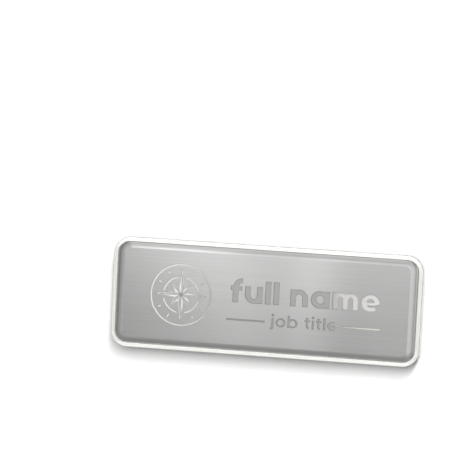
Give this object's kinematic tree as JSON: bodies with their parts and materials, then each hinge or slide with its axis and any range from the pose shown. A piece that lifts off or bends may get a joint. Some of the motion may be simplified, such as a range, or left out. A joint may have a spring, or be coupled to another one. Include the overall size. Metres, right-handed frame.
{
  "type": "name badge with magnet clasp",
  "caption": "Rectangular name badge: a brushed metal face plate in a clear frame, held through cloth by a steel bar and a loose magnet bar.",
  "frame": {"origin": "on the surface it lies on, under the middle of the badge", "axes": "+X along the badge, in reading direction; +Y to the top edge of the face; +Z out of the face"},
  "size_m": [0.0772, 0.0276, 0.0087],
  "materials": {
    "clear_acrylic": "clear polished acrylic",
    "brushed_metal": "brushed along the length, rolled edges",
    "back_plastic": "smooth satin, warm light grey",
    "foam_tape": "matt foam tape, cut edge",
    "bright_nickel": "bright nickel with an embossed honeycomb of fine lines",
    "black_plastic": "fine leathery texture",
    "cream_plastic": "pale cream, satin",
    "dark_nickel": "dark bright nickel"
  },
  "bodies": {
    "magnet_bar": {"magnet_cover": "black_plastic", "magnet_carrier": "cream_plastic", "magnet": "dark_nickel"},
    "badge": {"clear_frame": "clear_acrylic", "face_plate": "brushed_metal", "back_plate": "back_plastic", "adhesive_pad": "foam_tape", "steel_bar": "bright_nickel"}
  },
  "joints": [
    {"name": "magnet_pull_off", "type": "slide", "parent": "magnet_bar", "child": "badge", "axis": [0, 0, 1], "range_m": [0, 0.012]}
  ]
}
